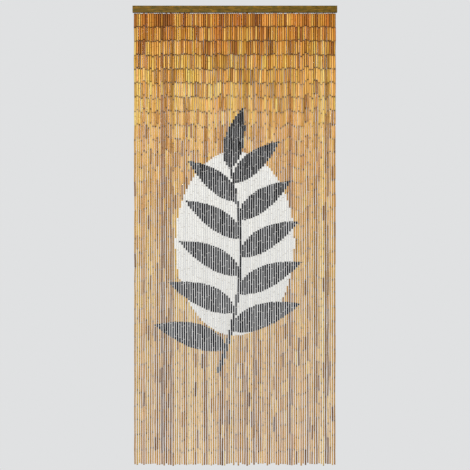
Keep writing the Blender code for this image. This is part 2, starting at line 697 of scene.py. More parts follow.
    def scorched_and_shaded(
        self,
        sheet: NodeSheet,
        shared: SharedNodes,
        tone: Socket,
        height: Socket,
        flank: Socket,
        blotch: Socket,
    ) -> Socket:
        """Draws the line at a node, painted shade near the ends, and each joint's mark of singed cane and
        painted shade.

        Args:
            sheet: The material's sheet.
            shared: The shared groups.
            tone: The colour so far.
            height: How high a point is.
            flank: How near to its tube's flanks it is.
            blotch: The blotches' mask.

        Returns:
            The colour with its dark marks.
        """
        along = sheet.mark("along")
        from_node = sheet.sum("ABSOLUTE", sheet.sum("SUBTRACT", along, sheet.mark("node_at")))
        tone = sheet.blend(sheet.fade(from_node, self.node_line), tone, self.scorch_and_shade)
        # Painted shade that darkens each tube towards its ends.
        end_shade_mask = shared.near_end(sheet, along, self.end_shade_reach)
        tone = sheet.blend(sheet.product(end_shade_mask, self.end_shade), tone, self.scorch_and_shade)

        # The mark at each joint: partly singed cane, partly painted shade of the open joint and the bore,
        # darkest at the tubes' fronts and backs.
        burn_and_shade = sheet.mark("burn_and_shade")
        reach = sheet.product(sheet.fade(burn_and_shade, self.burn_and_shade_reach), sheet.fade(blotch, self.uneven))
        least = sheet.fade(height, self.least_by_height)
        most = sheet.fade(height, self.most_by_height)
        burnt_and_shaded = sheet.product(
            shared.near_end(sheet, along, reach),
            sheet.ease(burn_and_shade, *self.burn_and_shade_split, least, most),
            sheet.fade(flank, self.burnt_and_shaded_by_side),
        )
        return sheet.blend(burnt_and_shaded, tone, self.scorch_and_shade)

    def make(self, shared: SharedNodes) -> bpy.types.Material:
        """Builds the material.

        Args:
            shared: The shared groups.

        Returns:
            The material.
        """
        made, sheet, shader = new_material("natural_bamboo")
        place = sheet.place()
        grain = shared.use(sheet, shared.grain, {"Place": place, "Stretch": self.stretch})
        fibre = grain.outputs["Fibre"]
        blotch = grain.outputs["Blotch"]
        height = sheet.add("ShaderNodeSeparateXYZ", {"Vector": place}).outputs["Z"]
        flank = sheet.mark("flank")
        tone = self.cane(sheet, height, fibre, blotch)
        tone = self.stained(sheet, tone, height, flank)
        tone = self.scorched_and_shaded(sheet, shared, tone, height, flank, blotch)
        sheet.feed(shader.inputs["Base Color"], tone)
        sheet.feed(shader.inputs["Roughness"], sheet.fade(fibre, self.gloss))
        shader.inputs["Specular IOR Level"].default_value = self.specular
        sheet.relief(shader, fibre, self.relief_strength, self.relief_depth)
        return made


@dataclass(frozen=True)
class PaintFinish:
    """Brushed paint on cane: the grain shows through faintly, and the tubes' ends are rubbed.

    Attributes:
        name: The material's name.
        fresh: The paint's colour.
        thin: Its colour where it went on thinly.
        bare: The colour under it where it is rubbed off. On the charcoal paint it is near-white, a painted
            light of the joint gaps.
        gloss: The roughness over the blotches.
        thinness: How much of the thin colour the fibres show.
        lift: How light the paint is, from the darkest cane to the palest.
        rub: How far the ends' specks are rubbed off.
        rub_reach: The share of the length that is rubbed.
        speck_scale: The scale of the specks.
        speck_sparse: How sparse they are.
        specular: The strength of its shine.
        relief_strength: How strong the brush marks' relief is.
        relief_depth: How deep it is.
        stretch: Brush marks a metre, across and along the cane.
    """

    name: str
    fresh: Colour
    thin: Colour
    bare: Colour
    gloss: Fade = Fade(0.0, 1.0, 0.42, 0.62)
    thinness: float = 0.7
    lift: Fade = Fade(0.0, 1.0, 0.92, 1.04)
    rub: float = 0.6
    rub_reach: float = 0.03
    speck_scale: float = 900.0
    speck_sparse: float = 0.46
    specular: float = 0.18
    relief_strength: float = 0.3
    relief_depth: float = 0.12 * MM
    stretch: tuple[float, float, float] = (1100.0, 1100.0, 60.0)

    def make(self, shared: SharedNodes) -> bpy.types.Material:
        """Builds the material.

        Args:
            shared: The shared groups.

        Returns:
            The material.
        """
        made, sheet, shader = new_material(self.name)
        place = sheet.place()
        grain = shared.use(sheet, shared.grain, {"Place": place, "Stretch": self.stretch})
        fibre = grain.outputs["Fibre"]
        tone = sheet.blend(sheet.product(fibre, self.thinness), self.fresh, self.thin)
        tone = sheet.tint(tone, sheet.fade(sheet.mark("tone"), self.lift))
        ends = shared.near_end(sheet, sheet.mark("along"), self.rub_reach)
        specks = shared.speckled(sheet, place, self.speck_scale, self.speck_sparse)
        tone = sheet.blend(sheet.product(ends, specks, self.rub), tone, self.bare)
        sheet.feed(shader.inputs["Base Color"], tone)
        sheet.feed(shader.inputs["Roughness"], sheet.fade(grain.outputs["Blotch"], self.gloss))
        shader.inputs["Specular IOR Level"].default_value = self.specular
        sheet.relief(shader, fibre, self.relief_strength, self.relief_depth)
        return made


@dataclass(frozen=True)
class SpeckledFinish:
    """A plain finish with small specks in it.

    Attributes:
        name: The material's name.
        plain: Its colour.
        speck: The colour of the specks.
        scale: The specks' scale.
        sparse: How sparse they are.
        gloss: The roughness, from the plain surface to a speck.
        metallic: How metallic it is.
    """

    name: str
    plain: Colour
    speck: Colour
    scale: float
    sparse: float
    gloss: Fade
    metallic: float = 0.0

    def make(self, shared: SharedNodes) -> bpy.types.Material:
        """Builds the material.

        Args:
            shared: The shared groups.

        Returns:
            The material.
        """
        made, sheet, shader = new_material(self.name)
        mask = shared.speckled(sheet, sheet.place(), self.scale, self.sparse)
        sheet.feed(shader.inputs["Base Color"], sheet.blend(mask, self.plain, self.speck))
        sheet.feed(shader.inputs["Roughness"], sheet.fade(mask, self.gloss))
        shader.inputs["Metallic"].default_value = self.metallic
        return made


@dataclass(frozen=True)
class RailFinish:
    """Planed softwood under an olive-brown stain: long grain, dark pores, patchily darker rounded edges.

    Attributes:
        stain: The stain's colour on the front.
        green: Its greener colour in broad patches.
        deep: Its colour in the grain and the pores.
        edge_tone: The colour along the rounded edges, in patches.
        ring_dark: The colour of the growth rings on the sawn ends.
        patch: Patches a metre, along the rail and across it.
        patch_detail: The detail of the patches.
        patch_edges: How the patches' noise turns into patches.
        lines: How dark the grain is.
        pore_scale: The scale of the pores.
        pore_sparse: How sparse they are.
        pore_depth: How dark they are.
        edge_darkening: How far the rounded edges are darkened.
        edge_patch_scale: The scale of the darker patches.
        edge_patch_edges: How their noise turns into patches.
        heart_below: How far the tree's heart was below the rail's middle line.
        ring_scale: The scale of the growth rings.
        ring_waver: How far they are out of round.
        ring_detail: The detail of that.
        rings: How dark they are.
        gloss: The roughness over the grain.
        specular: The strength of its shine.
        relief_strength: How strong the grain's relief is.
        relief_depth: How deep it is.
        stretch: Grain lines a metre, along the rail and across it.
    """

    stain: Colour = colour(146, 108, 12)
    green: Colour = colour(92, 80, 8)
    deep: Colour = colour(70, 48, 6)
    edge_tone: Colour = colour(100, 76, 14)
    ring_dark: Colour = colour(64, 46, 18)
    patch: tuple[float, float, float] = (38.0, 110.0, 110.0)
    patch_detail: float = 3.0
    patch_edges: Fade = Fade(0.42, 0.58)
    lines: Fade = Fade(0.25, 0.95, 0.65, 0.0)
    pore_scale: float = 420.0
    pore_sparse: float = 0.56
    pore_depth: float = 0.5
    edge_darkening: float = 0.7
    edge_patch_scale: float = 60.0
    edge_patch_edges: Fade = Fade(0.42, 0.62)
    heart_below: float = 0.03
    ring_scale: float = 110.0
    ring_waver: float = 1.4
    ring_detail: float = 2.0
    rings: Fade = Fade(0.2, 0.9, 0.35, 0.9)
    gloss: Fade = Fade(0.0, 1.0, 0.62, 0.48)
    specular: float = 0.15
    relief_strength: float = 0.4
    relief_depth: float = 0.2 * MM
    stretch: tuple[float, float, float] = (14.0, 520.0, 520.0)

    def growth_rings(self, sheet: NodeSheet, place: Socket) -> Socket:
        """The growth rings about the tree's heart, a line along the rail.

        Args:
            sheet: The material's sheet.
            place: Where a point is on the rail.

        Returns:
            How dark the rings are there.
        """
        across = sheet.add("ShaderNodeSeparateXYZ", {"Vector": place})
        above = sheet.sum("ADD", across.outputs["Z"], self.heart_below)
        heart = sheet.add("ShaderNodeCombineXYZ", {"X": 0.0, "Y": across.outputs["Y"], "Z": above})
        inputs = {
            "Vector": heart.outputs[0],
            "Scale": self.ring_scale,
            "Distortion": self.ring_waver,
            "Detail": self.ring_detail,
        }
        wave = sheet.add("ShaderNodeTexWave", inputs, wave_type="RINGS", rings_direction="X")
        return sheet.fade(wave.outputs["Fac"], self.rings)

    def make(self, shared: SharedNodes) -> bpy.types.Material:
        """Builds the material.

        Args:
            shared: The shared groups.

        Returns:
            The material.
        """
        made, sheet, shader = new_material("rail_wood")
        place = sheet.place()
        grain = shared.use(sheet, shared.grain, {"Place": place, "Stretch": self.stretch})
        fibre = grain.outputs["Fibre"]
        patches = sheet.noise(sheet.stretch(place, self.patch), 1.0, self.patch_detail)
        tone = sheet.blend(sheet.fade(patches, self.patch_edges), self.stain, self.green)
        tone = sheet.blend(sheet.fade(fibre, self.lines), tone, self.deep)
        pores = shared.speckled(sheet, place, self.pore_scale, self.pore_sparse)
        tone = sheet.blend(sheet.product(pores, self.pore_depth), tone, self.deep)
        # Patches along the rounded edges are darker.
        patchy = sheet.fade(sheet.noise(place, self.edge_patch_scale), self.edge_patch_edges)
        tone = sheet.blend(sheet.product(sheet.mark("edge"), patchy, self.edge_darkening), tone, self.edge_tone)
        ends = sheet.product(sheet.mark("sawn"), self.growth_rings(sheet, place))
        tone = sheet.blend(ends, tone, self.ring_dark)
        sheet.feed(shader.inputs["Base Color"], tone)
        sheet.feed(shader.inputs["Roughness"], sheet.fade(fibre, self.gloss))
        shader.inputs["Specular IOR Level"].default_value = self.specular
        sheet.relief(shader, fibre, self.relief_strength, self.relief_depth)
        return made


@dataclass(frozen=True)
class FloorFinish:
    """A plain pale floor that fades out into the surround.

    Attributes:
        pale: Its colour.
        mottle: Its colour in the patches.
        patch_scale: The scale of the patches.
        patch_edges: How their noise turns into patches.
        fading: How solid it is, by how far from the curtain's middle it is, as a share of its reach.
        roughness: Its roughness.
        specular: The strength of its shine.
    """

    pale: Colour = colour(246, 247, 248)
    mottle: Colour = colour(242, 243, 244)
    patch_scale: float = 1.6
    patch_edges: Fade = Fade(0.4, 0.6)
    fading: Fade = Fade(0.35, 0.98, 1.0, 0.0)
    roughness: float = 0.85
    specular: float = 0.1

    def make(self, reach: tuple[float, float]) -> bpy.types.Material:
        """Builds the material.

        Args:
            reach: Half the floor's width and depth.

        Returns:
            The material.
        """
        made, sheet, shader = new_material("pale_floor")
        place = sheet.place()
        patches = sheet.fade(sheet.noise(place, self.patch_scale), self.patch_edges)
        sheet.feed(shader.inputs["Base Color"], sheet.blend(patches, self.pale, self.mottle))
        shader.inputs["Roughness"].default_value = self.roughness
        shader.inputs["Specular IOR Level"].default_value = self.specular
        share = sheet.stretch(place, (1 / reach[0], 1 / reach[1], 0.0))
        away = sheet.add("ShaderNodeVectorMath", {0: share}, operation="LENGTH").outputs["Value"]
        sheet.feed(shader.inputs["Alpha"], sheet.fade(away, self.fading))
        return made


@dataclass(frozen=True)
class Finishes:
    """Every material of the curtain.

    Attributes:
        bamboo: The varnished cane.
        white: The white paint.
        charcoal: The charcoal paint.
        sawn: The tubes' sawn rims and their bores.
        wire: The wires and the hooks.
        rail: The wood of the rail and of the stringing strip.
    """

    bamboo: bpy.types.Material
    white: bpy.types.Material
    charcoal: bpy.types.Material
    sawn: bpy.types.Material
    wire: bpy.types.Material
    rail: bpy.types.Material

    @classmethod
    def make(cls) -> "Finishes":
        """Builds the cane, the two paints, the pith of the sawn rims in its brown stain, the browned wire
        and the rail's wood.

        Returns:
            The materials.
        """
        shared = SharedNodes()
        white = PaintFinish(
            "white_paint",
            fresh=colour(234, 234, 231),
            thin=colour(219, 216, 208),
            bare=colour(176, 158, 130),
        )
        charcoal = PaintFinish(
            "charcoal_paint",
            fresh=colour(13, 13, 15),
            thin=colour(30, 29, 31),
            # The rubbed specks at the ends are worn paint, painted near-white as the light seen through the
            # joint gaps.
            bare=colour(216, 210, 200),
            gloss=Fade(0.0, 1.0, 0.36, 0.56),
        )
        pith = SpeckledFinish(
            "sawn_cane",
            plain=colour(150, 104, 56),
            speck=colour(74, 44, 20),
            scale=2600.0,
            sparse=0.50,
            gloss=Fade(0.0, 1.0, 0.72, 0.90),
        )
        wire = SpeckledFinish(
            "link_wire",
            plain=colour(62, 50, 40),
            speck=colour(24, 17, 12),
            scale=700.0,
            sparse=0.44,
            gloss=Fade(0.0, 1.0, 0.34, 0.58),
            metallic=0.6,
        )
        return cls(
            bamboo=CaneFinish().make(shared),
            white=white.make(shared),
            charcoal=charcoal.make(shared),
            sawn=pith.make(shared),
            wire=wire.make(shared),
            rail=RailFinish().make(shared),
        )


# The curtain


class Coat(IntEnum):
    """What a stretch of tube wears. Each number is also the face's material number."""

    BARE = 0
    WHITE = 1
    CHARCOAL = 2
    SAWN = 3


@dataclass(frozen=True)
class PaintedDesign:
    """A white upright oval with a charcoal sprig of plain lance-shaped leaves over it.

    Attributes:
        oval_middle: The oval's middle, across and up.
        oval_reach: Its half width and half height.
        stem_foot: The stem's lower end.
        stem_tip: The stem's upper end.
        stem_bow: How far the stem bows to the right half way up.
        stem_half_width: Half the stem's width at its foot and at its tip.
        leaf_pairs: How many leaves leave each side of the stem.
        lowest_leaf: The share of the stem's length where the lowest leaf leaves it.
        highest_leaf: The same for the highest one beside the stem.
        leaf_length: The length of the lowest leaf.
        tip_leaf_length: The length of the leaf at the tip.
        leaf_half_width: Half the width of a leaf, as a share of its length.
        leaf_power: How slowly it widens from its root.
        leaf_spread: The angle in degrees from the stem at the lowest leaf.
        tip_spread: The same near the tip.
        tip_lean: How far the leaf at the tip leans, in degrees.
        leaf_arch: How far a leaf's point bends down, as a share of its length.
    """

    oval_middle: tuple[float, float] = (0.0, -1.030)
    oval_reach: tuple[float, float] = (0.262, 0.405)
    stem_foot: tuple[float, float] = (-0.075, -1.600)
    stem_tip: tuple[float, float] = (-0.020, -0.700)
    stem_bow: float = 0.070
    stem_half_width: tuple[float, float] = (0.00900, 0.00525)
    leaf_pairs: int = 5
    lowest_leaf: float = 0.12
    highest_leaf: float = 0.93
    leaf_length: float = 0.330
    tip_leaf_length: float = 0.270
    leaf_half_width: float = 0.165
    leaf_power: float = 0.7
    leaf_spread: float = 64.0
    tip_spread: float = 40.0
    tip_lean: float = 4.0
    leaf_arch: float = 0.14

    def stem(self, share: float | Array) -> tuple[float | Array, float | Array]:
        """The stem's middle line: a straight line from foot to tip, bowed by a parabola.

        Args:
            share: How far up the stem, 0 to 1.

        Returns:
            The places across and up.
        """
        bow = self.stem_bow * 4 * share * (1 - share)
        across = between(self.stem_foot[0], self.stem_tip[0], share) + bow
        return across, between(self.stem_foot[1], self.stem_tip[1], share)

    def on_stem(self, across: Array, up: Array) -> Array:
        """Whether each place lies on the stem, which thins towards its tip.

        Args:
            across: The places across.
            up: The places up.

        Returns:
            A truth value for each place.
        """
        share = (up - self.stem_foot[1]) / (self.stem_tip[1] - self.stem_foot[1])
        middle, _ = self.stem(share)
        width = between(*self.stem_half_width, share)
        return (share > 0) & (share < 1) & (np.abs(across - middle) < width)

    def in_leaf(
        self,
        across: Array,
        up: Array,
        root: tuple[float, float],
        turn: float,
        length: float,
    ) -> Array:
        """Whether each place lies in one leaf.

        With u the share of the leaf's length, its half width is the width times u to the leaf's power
        times (1 - u), scaled to 1 at its widest, and its middle line bends away by the arch times u
        squared.

        Args:
            across: The places across.
            up: The places up.
            root: Where the leaf leaves the stem.
            turn: The leaf's lean from upright in degrees, positive to the right.
            length: Its length.

        Returns:
            A truth value for each place.
        """
        lean = math.radians(turn)
        right = across - root[0]
        above = up - root[1]
        share = (right * math.sin(lean) + above * math.cos(lean)) / length
        inside = np.clip(share, 0.0, 1.0)
        offside = right * math.cos(lean) - above * math.sin(lean)
        middle = math.copysign(self.leaf_arch * length, turn) * inside**2
        power = self.leaf_power
        widest = power / (1 + power)
        fullness = inside**power * (1 - inside) / (widest**power * (1 - widest))
        reach = self.leaf_half_width * length * fullness
        return (share > 0) & (share < 1) & (np.abs(offside - middle) < reach)

    def coat_at(self, across: Array, up: Array) -> Array:
        """The coat at each place.

        Args:
            across: The places across.
            up: The places up.

        Returns:
            The numbers of the coats.
        """
        oval = ((across - self.oval_middle[0]) / self.oval_reach[0]) ** 2
        oval = oval + ((up - self.oval_middle[1]) / self.oval_reach[1]) ** 2
        coat = np.where(oval < 1, Coat.WHITE, Coat.BARE)
        dark = self.on_stem(across, up)
        leaves = 2 * self.leaf_pairs
        for leaf in range(leaves):
            share = leaf / (leaves - 1)
            root = self.stem(between(self.lowest_leaf, self.highest_leaf, share))
            spread = between(self.leaf_spread, self.tip_spread, share)
            length = between(self.leaf_length, self.tip_leaf_length, share)
            turn = spread if leaf % 2 else -spread
            dark |= self.in_leaf(across, up, root, turn, length)
        dark |= self.in_leaf(across, up, self.stem_tip, self.tip_lean, self.tip_leaf_length)
        return np.where(dark, Coat.CHARCOAL, coat)


@dataclass(frozen=True)
class StrandPlan:
    """Where every joint of every strand hangs, as in the solids.

    Attributes:
        strands: How many strands there are.
        pitch: How far apart they are.
        tubes: How many tubes a strand has.
        tube_step: From one joint to the next.
        joint: The length of a joint in the solids.
        first_gap: From the rail's underside to the first tube.
        drop: From the first joint to the last one.
        cane_top: The cane's width at the top.
        cane_tip: The width that it thins towards.
        cane_fade: How many rows the thinning takes.
        step_spread: How far the steps wander, as a share.
        hem_spread: How far the strands' lengths wander.
        sway_across: How far a joint hangs out of line at the hem.
        sway_depth: The same in depth.
        seed: What the wander starts from.
        roundness: A tube's width as a share of the square strand of as much cane.
        width_spread: How far the tubes' widths differ, as a share.
        stagger: How far neighbours stand before and behind each other at the top, where they crowd.
        stagger_spread: How far it differs from strand to strand, as a share.
        stagger_fade: How many rows it takes to fade.
        scatter: How far a strand's joints are out of their rows further down, where the solids are plain.
        scatter_from: The last joint that is where the solids have it.
        scatter_over: How many joints the scatter takes to grow.
        scatter_end: How many joints it takes to end at the hem.
        bunch: How far strands crowd together and apart.
        bunch_over: Over how many strands a bunch goes.
        bunch_fade: How many rows the bunching takes to grow.
        room: The least room between two neighbours.
        drawn_up: How much nearer to the rail the first joints hang than in the solids.
        hook_gap: The open length above the first row, from the longest tubes, whose bores take in
            their hooks, to the shortest ones.
        tight_gap: The open length at a joint of thick tubes, whose bores take in the eyes.
        loose_gap: The open length at a joint of thin tubes.
        gap_fade: How many rows the change from one to the other takes.
    """

    strands: int = 90
    pitch: float = 9.87 * MM
    tubes: int = 32
    tube_step: float = 61.7 * MM
    joint: float = 4.5 * MM
    first_gap: float = 5.0 * MM
    drop: float = 1984.0 * MM
    cane_top: float = 9.4 * MM
    cane_tip: float = 5.0 * MM
    cane_fade: float = 8.0
    step_spread: float = 0.035
    hem_spread: float = 4.0 * MM
    sway_across: float = 0.8 * MM
    sway_depth: float = 1.4 * MM
    seed: int = 90
    roundness: float = 1.32
    width_spread: float = 0.05
    stagger: float = 1.7 * MM
    stagger_spread: float = 0.4
    stagger_fade: float = 8.0
    scatter: float = 21.0 * MM
    scatter_from: int = 3
    scatter_over: int = 9
    scatter_end: int = 2
    bunch: float = 0.55 * MM
    bunch_over: int = 4
    bunch_fade: float = 2.0
    room: float = 0.03 * MM
    drawn_up: float = 2.4 * MM
    hook_gap: tuple[float, float] = (-0.88 * MM, 4.4 * MM)
    tight_gap: float = 0.2 * MM
    loose_gap: float = 1.0 * MM
    gap_fade: float = 9.0

    def depths(self) -> Array:
        """How far each joint is below the first one.

        The steps wander about the tube's own, and the lower tubes take up what is left to the
        strand's length, so the joints line up at the top and scatter further down.

        Returns:
            A row for each strand.
        """
        steps = self.tube_step * (1 + self.step_spread * chance(self.seed, (self.strands, self.tubes)))
        depths = np.concatenate([np.zeros((self.strands, 1)), np.cumsum(steps, axis=1)], axis=1)
        lengths = self.drop + self.hem_spread * chance(self.seed + 1, self.strands)
        taken_up = (np.arange(self.tubes + 1) / self.tubes) ** 2
        return depths + np.outer(lengths - depths[:, -1], taken_up)

    def joints(self) -> Array:
        """The middle of each joint, as (strand, joint, axis).

        Across, a strand hangs at its own place plus its sway, which grows as the square root of the
        share of the drop, plus the bunching, a mean of random numbers over neighbouring strands that
        grows over the first rows and is gone at the hem. In depth every other strand is staggered to
        the front, less so further down. The height follows the solids, and past the joints that they
        show, each strand's joints leave their rows by more and more.

        Returns:
            The places.
        """
        low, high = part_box(RAIL_NODE)
        number = np.arange(self.tubes + 1)
        share = np.sqrt(number / self.tubes)[:, None]
        wander = chance(self.seed + 2, (self.strands, self.tubes + 1, 2)) / 2
        sway = wander * share * (self.sway_across, self.sway_depth)
        across = (np.arange(self.strands) - (self.strands - 1) / 2) * self.pitch
        across = across[:, None] + sway[..., 0] + self.bunching(number)
        turns = np.where(np.arange(self.strands) % 2, 1.0, -1.0)
        turns = turns + self.stagger_spread * chance(self.seed + 4, self.strands)
        fade = np.exp(-number / self.stagger_fade)
        depth = (low.y + high.y) / 2 + self.stagger * np.outer(turns, fade)
        loose = np.clip((number - self.scatter_from) / self.scatter_over, 0, 1)
        loose = loose * np.clip((self.tubes - number) / self.scatter_end, 0, 1)
        strand_scatter = 2 * even_chance(self.seed + 6, (self.strands, 1)) - 1
        drawn_up = self.drawn_up * (1 - number / self.tubes) * (number > 0)
        hung = low.z - self.first_gap + self.joint / 2 - self.depths()
        up = hung + drawn_up + self.scatter * loose * strand_scatter
        return np.stack([across, depth + sway[..., 1], up], axis=-1)

    def bunching(self, number: Array) -> Array:
        """How far each joint is crowded aside, as (strand, joint).

        Args:
            number: The joints' numbers from the top.

        Returns:
            The places across, from the joint's own.
        """
        drawn = chance(self.seed + 5, (self.strands + self.bunch_over - 1, len(number)))
        summed = np.cumsum(np.concatenate([np.zeros((1, len(number))), drawn]), axis=0)
        over = (summed[self.bunch_over :] - summed[: -self.bunch_over]) / math.sqrt(self.bunch_over)
        grown = 1 - np.exp(-number / self.bunch_fade)
        return self.bunch * over * grown * (1 - number / self.tubes)

    def gaps(self) -> Array:
        """The open length at each joint: it grows from tight to loose as the tubes thin.

        The first row's tops are not in line, so there the length is a chance one.

        Returns:
            A row for each strand.
        """
        growth = 1 - np.exp(-np.arange(self.tubes + 1) / self.gap_fade)
        gaps = np.tile(between(self.tight_gap, self.loose_gap, growth), (self.strands, 1))
        gaps[:, 0] = between(*self.hook_gap, even_chance(self.seed + 7, self.strands))
        return gaps

    def radii(self, joints: Array) -> Array:
        """The radius of each tube: the cane's own with some spread, and never into a neighbour.

        Args:
            joints: The middle of each joint.

        Returns:
            A row for each strand.
        """
        row = np.arange(self.tubes)
        width = between(self.cane_tip, self.cane_top, np.exp(-row / self.cane_fade)) * self.roundness
        spread = 1 + self.width_spread * chance(self.seed + 3, (self.strands, self.tubes))
        apart = np.linalg.norm(np.diff(joints[..., :2], axis=0), axis=-1)
        apart = np.minimum(apart[:, :-1], apart[:, 1:])
        edge = np.full((1, self.tubes), np.inf)
        beside = np.minimum(np.concatenate([edge, apart]), np.concatenate([apart, edge]))
        return np.minimum(width / 2 * spread, (beside - self.room) / 2)


@dataclass
class Tubes:
    """Some tubes of the curtain, with one entry of each array for a tube.

    Attributes:
        head: The middle of the upper end.
        foot: The middle of the lower end.
        radius: Half the width.
        tone: How pale the cane is, 0 to 1.
        hue: A chance value from 0 to 1 that turns the colour from rosy to khaki.
        pool: How much painted shade lies along the flanks, 0 to 1.
        burn_and_shade: How dark the upper and the lower end are, 0 to 1, as singed cane and painted shade.
            Two ends that meet are alike.
        node_at: Where the cane's node is, as a share of the length, or far off it where it has none.
        turn: How far the tube is turned about itself.
        coats: The coat at even steps along the tube.
        strand: The number of its strand.
    """

    head: Array
    foot: Array
    radius: Array
    tone: Array
    hue: Array
    pool: Array
    burn_and_shade: Array
    node_at: Array
    turn: Array
    coats: Array
    strand: Array

    def some(self, chosen: Array) -> "Tubes":
        """The tubes for which chosen is true."""
        return Tubes(*(getattr(self, entry.name)[chosen] for entry in fields(self)))


@dataclass(frozen=True)
class CaneTubes:
    """The bamboo tubes, joined into a few meshes.

    Attributes:
        plan: Where the joints are.
        design: What is painted on them.
        sides: How many sides a tube has.
        bore: The bore's radius as a share of the tube's.
        steps: How many places along a tube the design is read at.
        strand_share: The share of tubes that have their strand's own tone, at the top and at the hem.
        share_fade: How many rows the change from one to the other takes.
        contrast: How far the tones are spread about their middle, at some rows. It changes evenly
            between them.
        node_chance: The share of tubes with a node.
        node_span: Between which shares of the length it is.
        node_reach: Half its own length, as a share of the tube's.
        node_swell: How much wider a tube is at its node, as a share.
        no_node: The place of the node of a tube that has none, far off the tube.
        plain_rings: Where the two middle rings of such a tube are.
        spare_cut: Where a cut that isn't needed lies in its even part of a painted tube.
        taper: How much the two ends of a tube differ in width, as a share.
        flat: How much a tube's width and depth differ, as a share.
        bend: How far a tube bows out of line.
        bow_turns: The way that it bows, as a multiple of how far it is turned, which is chance.
        flat_turns: The same for the way that it is flat.
        sawn_slope: How far its ends slope, as a share of the radius.
        ragged: How far the painted edge wanders from tube to tube.
        crease: The angle past which an edge is shaded sharp.
        seed: What the chances start from.
    """

    plan: StrandPlan
    design: PaintedDesign
    sides: int = 8
    bore: float = 0.44
    steps: int = 48
    strand_share: tuple[float, float] = (0.15, 0.80)
    share_fade: float = 4.0
    contrast: tuple[tuple[float, float], ...] = ((0, 0.80), (5, 0.66), (31, 0.95))
    node_chance: float = 0.16
    node_span: tuple[float, float] = (0.2, 0.8)
    node_reach: float = 0.015
    node_swell: float = 0.07
    no_node: float = 9.0
    plain_rings: tuple[float, float] = (0.3, 0.7)
    spare_cut: float = 0.6
    taper: float = 0.03
    flat: float = 0.04
    bend: float = 0.25 * MM
    bow_turns: int = 3
    flat_turns: int = 5
    sawn_slope: float = 0.05
    ragged: float = 1.2 * MM
    crease: float = 50.0
    seed: int = 410

    def lay_out(self) -> Tubes:
        """Works out every tube of the curtain.

        Returns:
            The tubes, strand by strand and from the top down.
        """
        joints = self.plan.joints()
        shape = (self.plan.strands, self.plan.tubes)
        upper = joints[:, :-1]
        lower = joints[:, 1:]
        down = unit(lower - upper)
        gaps = self.plan.gaps()[..., None]
        head = upper + down * gaps[:, :-1] / 2
        foot = lower - down * gaps[:, 1:] / 2

        fade = np.exp(-np.arange(self.plan.tubes) / self.share_fade)
        share = between(*self.strand_share[::-1], fade)
        rows, spreads = zip(*self.contrast)
        spread = np.interp(np.arange(self.plan.tubes), rows, spreads)
        alike = even_chance(self.seed + 7, shape) < share
        strand_tone, strand_hue = even_chance(self.seed, (2, self.plan.strands, 1))
        tone = np.where(alike, strand_tone, even_chance(self.seed + 1, shape))
        tone = 0.5 + spread * (tone - 0.5)
        hue = np.where(alike, strand_hue, even_chance(self.seed + 5, shape))
        has_node = even_chance(self.seed + 2, shape) < self.node_chance
        node_at = between(*self.node_span, even_chance(self.seed + 3, shape))
        node_at = np.where(has_node, node_at, self.no_node)

        places = (np.arange(self.steps) + 0.5) / self.steps
        ragged = self.ragged * chance(self.seed + 4, (*shape, 1))
        across = np.broadcast_to(joints[:, :1, :1], (*shape, self.steps))
        up = head[..., 2:] + (foot - head)[..., 2:] * places + ragged
        coats = self.design.coat_at(across, up)

        burn_and_shade = even_chance(self.seed + 9, (self.plan.strands, self.plan.tubes + 1))

        count = self.plan.strands * self.plan.tubes
        return Tubes(
            head=head.reshape(count, 3),
            foot=foot.reshape(count, 3),
            radius=self.plan.radii(joints).reshape(count),
            tone=tone.reshape(count),
            hue=hue.reshape(count),
            pool=even_chance(self.seed + 8, count),
            burn_and_shade=np.stack([burn_and_shade[:, :-1], burn_and_shade[:, 1:]], axis=-1).reshape(count, 2),
            node_at=node_at.reshape(count),
            turn=np.floor(even_chance(self.seed + 6, count) * self.sides) * math.tau / self.sides,
            coats=coats.reshape(count, self.steps),
            strand=np.repeat(np.arange(self.plan.strands), self.plan.tubes),
        )

    def coat_cuts(self, tubes: Tubes, cuts: int) -> tuple[Array, Array]:
        """Cuts each tube's outer wall where its coat changes.

        Args:
            tubes: The tubes.
            cuts: How many cuts a tube may have. The ones that it doesn't need are spread along it.

        Returns:
            The cuts as shares of the length, in order, and the coat between each two of them.
        """
        changes = tubes.coats[:, 1:] != tubes.coats[:, :-1]
        places = np.arange(1, self.steps) / self.steps
        found = np.sort(np.where(changes, places, np.inf), axis=1)[:, :cuts]
        spare = (np.arange(cuts) + self.spare_cut) / cuts
        found = np.sort(np.where(np.isinf(found), spare, found), axis=1)
        edges = np.concatenate([np.zeros((len(found), 1)), found, np.ones((len(found), 1))], axis=1)
        middles = (edges[:, 1:] + edges[:, :-1]) / 2
        picked = np.minimum((middles * self.steps).astype(int), self.steps - 1)
        return found, np.take_along_axis(tubes.coats, picked, axis=1)

    def node_cuts(self, tubes: Tubes) -> tuple[Array, Array, Array]:
        """Places the two middle rings of a bare tube, as a swelling where it has a node.

        Args:
            tubes: The tubes.

        Returns:
            The rings as shares of the length, their widths as shares of the tube's, and the coats.
        """
        has_node = (tubes.node_at < 1)[:, None]
        at_node = np.clip(tubes.node_at[:, None], 0, 1) + (-self.node_reach, self.node_reach)
        cuts = np.where(has_node, at_node, self.plain_rings)
        swell = np.where(has_node, 1 + self.node_swell, 1.0) * np.ones(2)
        return cuts, swell, np.full((len(cuts), 3), Coat.BARE)

